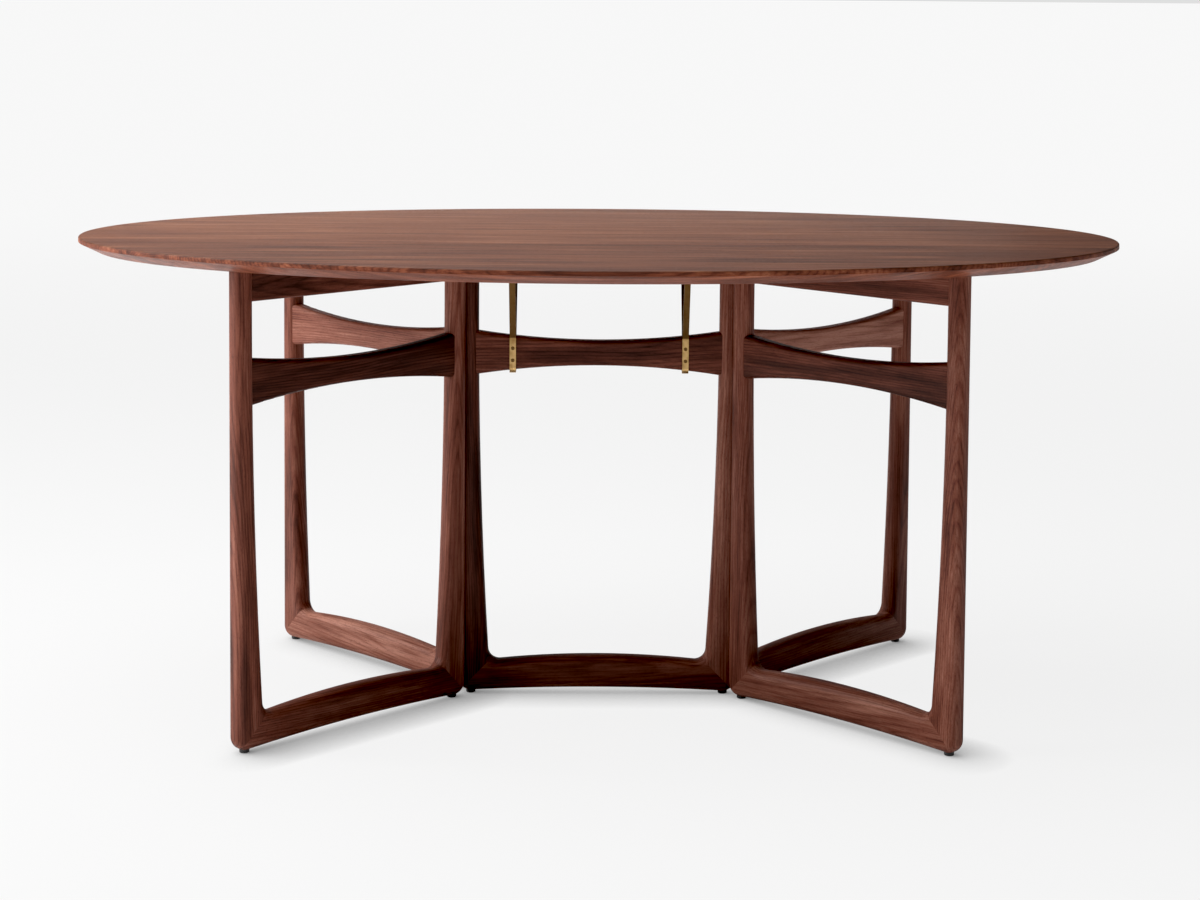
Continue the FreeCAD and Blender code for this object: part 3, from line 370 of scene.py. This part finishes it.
top_walnut = new_material("top_walnut")
tree = top_walnut.node_tree
place = add_node(tree, "TexCoord").outputs["Object"]
apart = add_node(tree, "SeparateXYZ", {"Vector": place})
along = add_node(tree, "Math", {0: apart.outputs["Y"], 1: -FIRST_EDGE}, operation="ADD")
stave = add_node(tree, "ValToRGB", {"Fac": along.outputs["Value"]})
stave.color_ramp.interpolation = "CONSTANT"
set_stops(stave, [(edge - FIRST_EDGE, (slide, heart, shade)) for edge, slide, heart, shade in STAVES])
shift = add_node(tree, "VectorMath", {0: stave.outputs["Color"], 1: LOG_TAKEN, 2: place},
                 operation="MULTIPLY_ADD")
log = add_node(tree, "Mapping",
               {"Vector": shift.outputs["Vector"], "Scale": TOP_SCALE, "Location": TOP_PITH})
shades = add_node(tree, "SeparateColor", {"Color": stave.outputs["Color"]})
tone = add_node(tree, "MapRange",
                {"Value": shades.outputs["Blue"], "To Min": DARKEST_STAVE, "To Max": PALEST_STAVE})
# Below the face, the rim and the bevel get the paler cast, a painted light
rim = add_node(tree, "MapRange",
               {"Value": apart.outputs["Z"], "From Min": FACE_DOWN_TO, "From Max": RIM_UP_TO})
cast = add_node(tree, "Mix", {"Factor": rim.outputs["Result"], "A": FACE_CAST, "B": RIM_PAINTED_LIGHT},
                data_type="RGBA")
oiled(tree, log.outputs["Vector"], TOP_RING_WIDTH, tone.outputs["Result"], cast.outputs["Result"], TOP_SHEEN)

for node in ("centre_board", "front_leaf", "back_leaf"):
    seen_copy(node, "base", top_walnut)

# Leaf hinges: three brass pairs under each rule joint. One plate is let in flush with the underside of the
# board and one with that of the leaf. Both are held by countersunk screws, and a pin joins them.

# Clean brass and its brown spots, and a dark brass: a painted shade on the stays above the rail, and the
# screws' darker brass
BRASS = ((0.38, (0.46, 0.30, 0.130)), (0.72, (0.26, 0.150, 0.056)))
DARKENED_BRASS = (0.085, 0.042, 0.016, 1)
# How often brush lines change in a metre across and along them, and how often spots do
BRUSH_LINES, SPOTS_A_METRE = (3800, 3800, 60), 85
# The lowest roughness, what spots and brush lines add to it, and how strong and deep lines are in relief
BRASS_ROUGHNESS, SPOT_ROUGHNESS, LINE_ROUGHNESS = 0.20, 0.22, 0.12
LINE_RELIEF, LINE_DEPTH = 0.15, 0.00005
# How dark the painted shade above the rail makes the stays, and how far below and above that height it
# starts and is full, in metres
PAINTED_SHADE_AMOUNT, SHADE_STARTS_BELOW, SHADE_FULL_ABOVE = 0.88, 0.001, 0.002


def brass_grain():
    """Brushed brass: fine lines one way, and faint brown spots where hands have been."""
    tree, given, made = new_group("brass_grain", {"Place": "Vector", "Darkened": "Float"},
                                  {"Color": "Color", "Roughness": "Float", "Height": "Float"})
    squeeze = add_node(tree, "VectorMath", {0: given.outputs["Place"], 1: BRUSH_LINES},
                       operation="MULTIPLY")
    brush = add_node(tree, "TexNoise", {"Vector": squeeze.outputs["Vector"], "Scale": 1, "Detail": 2})
    spots = add_node(tree, "TexNoise",
                     {"Vector": given.outputs["Place"], "Scale": SPOTS_A_METRE, "Detail": 5})
    tarnish = add_node(tree, "ValToRGB", {"Fac": spots.outputs["Fac"]})
    set_stops(tarnish, BRASS)
    # The dark brass mixed in here gives the stays' painted shade and the screws' darker brass
    brown = add_node(tree, "Mix", {"Factor": given.outputs["Darkened"], "A": tarnish.outputs["Color"],
                                   "B": DARKENED_BRASS}, data_type="RGBA")
    tree.links.new(brown.outputs["Result"], made.inputs["Color"])
    dull = add_node(tree, "Math", {0: spots.outputs["Fac"], 1: SPOT_ROUGHNESS, 2: BRASS_ROUGHNESS},
                    operation="MULTIPLY_ADD")
    fine = add_node(tree, "Math", {0: brush.outputs["Fac"], 1: LINE_ROUGHNESS, 2: dull.outputs["Value"]},
                    operation="MULTIPLY_ADD")
    tree.links.new(fine.outputs["Value"], made.inputs["Roughness"])
    tree.links.new(brush.outputs["Fac"], made.inputs["Height"])
    return tree


brushed = brass_grain()


def brass(name, turn, darkened=0, painted_shade_above=None):
    """Brass brushed one way, which turn takes to Z. It may be darkened all over, or above a height by a
    painted shade.
    """
    material = new_material(name)
    tree = material.node_tree
    place = add_node(tree, "TexCoord").outputs["Object"]
    if painted_shade_above:
        # Above that height the brass gets a painted shade
        height = add_node(tree, "SeparateXYZ", {"Vector": place})
        painted_shade = add_node(tree, "MapRange", {"Value": height.outputs["Z"],
                                              "From Min": painted_shade_above - SHADE_STARTS_BELOW,
                                              "From Max": painted_shade_above + SHADE_FULL_ABOVE, "To Max": PAINTED_SHADE_AMOUNT})
        darkened = painted_shade.outputs["Result"]
    mapped = add_node(tree, "Mapping", {"Vector": place, "Rotation": turn})
    grain = add_node(tree, "Group", {"Place": mapped.outputs["Vector"], "Darkened": darkened},
                     node_tree=brushed)
    relief = add_node(tree, "Bump", {"Strength": LINE_RELIEF, "Distance": LINE_DEPTH,
                                     "Height": grain.outputs["Height"]})
    finish = add_node(tree, "BsdfPrincipled",
                      {"Base Color": grain.outputs["Color"], "Roughness": grain.outputs["Roughness"],
                       "Normal": relief.outputs["Normal"], "Metallic": 1})
    add_node(tree, "OutputMaterial", {"Surface": finish.outputs["BSDF"]})
    return material


leaf_brass = brass("leaf_hinge_brass", (radians(90), 0, 0))
for leaf in ("front_leaf", "back_leaf"):
    for part in ("screws", "board_plates", "leaf_plates", "pins"):
        seen_copy(f"{leaf}_hinge_{part}", "base", leaf_brass)

# The frames: five alike in walnut. Each has two posts swept wider towards the foot, a bowed bottom rail
# mitred to them, and a waisted middle rail and a plain top rail, both tenoned into the posts.

# How far the gates stand open from the centre frame, in degrees
GATE_TURN = 44.3
# The width of the growth rings in metres, and the cast and sheen of the wood
FRAME_RING_WIDTH, FRAME_CAST, FRAME_SHEEN = 0.0038, (1.06, 1.0, 1.05, 1), 0.18
# Where the pith lies beside a piece in metres, and how its log leans in degrees, both taken in turn
PITH = ((0.031, 0.052), (-0.044, 0.038), (0.058, -0.027), (-0.036, -0.049), (0.024, 0.067), (0.061, 0.019),
        (-0.053, 0.026))
LEAN = ((1.8, -0.9), (-1.1, 2.2), (2.6, 0.6), (-0.7, -2.4), (1.2, 1.7), (-2.3, -0.4))
# How far along the log one piece is cut from the next, in metres
NEXT_CUT = 1.7
# Where a piece shows nested arches: a point of the pith near its face, and the lean of the log
ARCHES = {"front_right_gate_outer_post": ((0.512, -0.325, 0.05), (0.8, 5.5))}


def walnut(node, turn, tone, count):
    """Walnut for one piece, with the pith of its log beside it. Turn takes the grain to X."""
    low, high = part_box(node)
    pith = (low + high) / 2
    lean = LEAN[count % len(LEAN)]
    across, deep = PITH[count % len(PITH)]
    if node in ARCHES:
        pith, lean = Vector(ARCHES[node][0]), ARCHES[node][1]
        across, deep = 0, 0
    spin = Euler((radians(turn[0]), radians(turn[1] + lean[0]), radians(turn[2] + lean[1])))
    middle = spin.to_matrix() @ pith
    material = new_material("walnut_" + node)
    tree = material.node_tree
    place = add_node(tree, "TexCoord").outputs["Object"]
    log = add_node(tree, "Mapping", {"Vector": place, "Rotation": spin,
                                     "Location": (count * NEXT_CUT, across - middle.y, deep - middle.z)})
    oiled(tree, log.outputs["Vector"], FRAME_RING_WIDTH, tone, FRAME_CAST, FRAME_SHEEN)
    return material


# Each frame's body and turn, its posts, and the tones of its two posts and its bottom, middle and top rail
GATE_POSTS = ("inner_post", "outer_post")
# The tones are partly each piece's own and partly painted light and shade, set for how each piece is lit
FRAMES = (("centre", "base", 0, ("left_post", "right_post"), (-0.36, 0.10, -0.15, -0.22, -0.24)),
          ("front_left_gate", "front_left_gate", -GATE_TURN, GATE_POSTS, (0.06, -0.10, -0.06, -0.44, -0.28)),
          ("front_right_gate", "front_right_gate", GATE_TURN, GATE_POSTS, (0.06, 0.02, 0.08, -0.28, -0.14)),
          ("back_left_gate", "back_left_gate", GATE_TURN, GATE_POSTS, (-0.06, -0.04, 0.24, 0.10, -0.16)),
          ("back_right_gate", "back_right_gate", -GATE_TURN, GATE_POSTS, (-0.06, -0.02, 0.18, 0.32, -0.12)))
count = 0
for name, body, angle, posts, tones in FRAMES:
    for part, tone in zip((*posts, "bottom_rail", "mid_rail", "top_rail"), tones):
        node = f"{name}_{part}"
        turn = (0, 90, 0) if part in posts else (0, 0, angle)
        seen_copy(node, body, walnut(node, turn, tone, count))
        count += 1

# Glides: black plastic discs, one under each end of every frame. Each has a stem that is driven up into the
# wood, and together they keep the frames off the floor.

# The plastic and its scuffs: colours, how often they change in a metre, and the lowest and highest roughness
PLASTIC = ((0.35, (0.012, 0.012, 0.012)), (0.75, (0.035, 0.035, 0.035)))
SCUFFS_A_METRE, GLIDE_SMOOTH, GLIDE_ROUGH = 600, 0.4, 0.6

glide_plastic = new_material("glide_plastic")
tree = glide_plastic.node_tree
place = add_node(tree, "TexCoord").outputs["Object"]
scuff = add_node(tree, "TexNoise", {"Vector": place, "Scale": SCUFFS_A_METRE, "Detail": 4})
black = add_node(tree, "ValToRGB", {"Fac": scuff.outputs["Fac"]})
set_stops(black, PLASTIC)
dull = add_node(tree, "MapRange",
                {"Value": scuff.outputs["Fac"], "To Min": GLIDE_SMOOTH, "To Max": GLIDE_ROUGH})
finish = add_node(tree, "BsdfPrincipled",
                  {"Base Color": black.outputs["Color"], "Roughness": dull.outputs["Result"]})
add_node(tree, "OutputMaterial", {"Surface": finish.outputs["BSDF"]})
for name, body, *_ in FRAMES:
    seen_copy(name + "_glides", body, glide_plastic)

# Stays: two brass strips, each bent like a stirrup and screwed to the board and to the centre frame's middle
# rail. They pass under the rail. All that rises above the rail gets a painted shade, and their screws are
# darker.

# The height in metres above which a stay stands free of the rail and gets its painted shade, and how dark
# the screws are
ABOVE_RAIL = 0.577
SCREWS_DARKENED = 0.9

stay_brass = brass("stay_brass", (0, 0, 0), painted_shade_above=ABOVE_RAIL)
for node in ("left_stay", "right_stay"):
    seen_copy(node, "base", stay_brass)
seen_copy("stay_screws", "base", brass("screw_brass", (0, 0, 0), darkened=SCREWS_DARKENED))

# Gate hinges: brass. At each end of the centre frame one pin above and one below carry a front and a back
# gate. A pin's centre leaf sits in a slot in the centre post, and each gate's leaf is let in and screwed.

hinge_brass = brass("gate_hinge_brass", (0, 0, 0))
for end in ("left", "right"):
    seen_copy(end + "_hinge_centre_leaves", "base", hinge_brass)
    seen_copy(end + "_hinge_pins", "base", hinge_brass)
for gate, body, *_ in FRAMES[1:]:
    seen_copy(gate + "_hinge_leaves", body, hinge_brass)
    seen_copy(gate + "_hinge_screws", body, hinge_brass)
